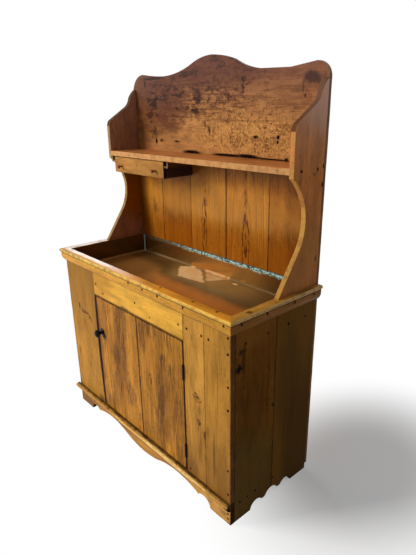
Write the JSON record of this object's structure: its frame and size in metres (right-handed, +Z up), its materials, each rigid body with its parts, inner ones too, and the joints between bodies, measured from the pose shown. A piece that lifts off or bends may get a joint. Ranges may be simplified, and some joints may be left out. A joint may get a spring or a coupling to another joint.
{
  "type": "dry sink cabinet",
  "caption": "Pine dry sink: cupboard with one boarded door, copper-lined well on top, and a scroll-sided hutch with a shelf, a hung drawer and a shaped crest.",
  "frame": {"origin": "bottom centre of the whole piece: midway between the capping's two ends across, midway between the latch knob's face and the nail heads on the back, on the ground", "axes": "+X to the right for someone facing the door, +Y to the back, +Z up"},
  "size_m": [1.162, 0.4942, 1.652],
  "materials": {
    "pine_left_stile": "waxed",
    "pine_rail": "waxed",
    "pine_right_stile": "waxed",
    "pine_skirt": "waxed, scuffed",
    "pine_moulding": "waxed, worn",
    "pine_door": "waxed, stained",
    "pine_side": "waxed, dark",
    "pine_back": "waxed",
    "pine_crest": "waxed, scorched",
    "pine_shelf": "waxed",
    "pine_drawer": "waxed",
    "drawer_knob_wood": "turned, waxed",
    "pine_inside": "bare",
    "copper": "tarnished",
    "hinge_iron": "aged",
    "black_iron": "glossy",
    "nail_iron": "rusted"
  },
  "bodies": {
    "cabinet": {"left_stile": "pine_left_stile", "top_rail": "pine_rail", "right_stile_inner": "pine_right_stile", "right_stile_outer": "pine_right_stile", "front_skirt": "pine_skirt", "base_bead": "pine_moulding", "cornice_front": "pine_moulding", "cornice_left": "pine_moulding", "cornice_right": "pine_moulding", "rim_front": "pine_moulding", "rim_left": "pine_moulding", "rim_right": "pine_moulding", "side_front_left": "pine_side", "side_front_right": "pine_side", "side_rear_left": "pine_side", "side_rear_right": "pine_side", "back_board_1": "pine_back", "back_board_2": "pine_back", "back_board_3": "pine_back", "back_board_4": "pine_back", "back_board_5": "pine_back", "crest_board": "pine_crest", "hutch_shelf": "pine_shelf", "drawer_runner_left": "pine_drawer", "drawer_runner_right": "pine_drawer", "door_head_rail": "pine_inside", "door_sill_rail": "pine_inside", "sink_bed_front": "pine_inside", "sink_bed_rear": "pine_inside", "floor_board_front": "pine_inside", "floor_board_rear": "pine_inside", "sink_liner": "copper", "hinge_upper_frame_leaf": "hinge_iron", "hinge_lower_frame_leaf": "hinge_iron", "hinge_pins": "hinge_iron", "cabinet_nails": "nail_iron"},
    "door": {"door_board_left": "pine_door", "door_board_right": "pine_door", "door_batten_top": "pine_inside", "door_batten_bottom": "pine_inside", "hinge_upper_door_leaf": "hinge_iron", "hinge_lower_door_leaf": "hinge_iron", "latch_rose": "black_iron", "door_nails": "nail_iron"},
    "latch": {"latch_knob": "black_iron", "latch_tongue": "black_iron"},
    "drawer": {"drawer_front": "pine_drawer", "drawer_side_left": "pine_drawer", "drawer_side_right": "pine_drawer", "drawer_back": "pine_drawer", "drawer_bottom": "pine_drawer", "drawer_hanger_left": "pine_drawer", "drawer_hanger_right": "pine_drawer", "drawer_knob_left": "drawer_knob_wood", "drawer_knob_right": "drawer_knob_wood"}
  },
  "joints": [
    {"name": "door_hinge", "type": "hinge", "parent": "cabinet", "child": "door", "pos_m": [0.316, -0.21275, 0], "axis": [0, 0, 1], "range_deg": [0, 180]},
    {"name": "latch_turn", "type": "hinge", "parent": "door", "child": "latch", "pos_m": [-0.272, -0.20875, 0.496], "axis": [0, 1, 0], "range_deg": [0, 90]},
    {"name": "drawer_slide", "type": "slide", "parent": "cabinet", "child": "drawer", "axis": [0, -1, 0], "range_m": [0, 0.12]}
  ]
}
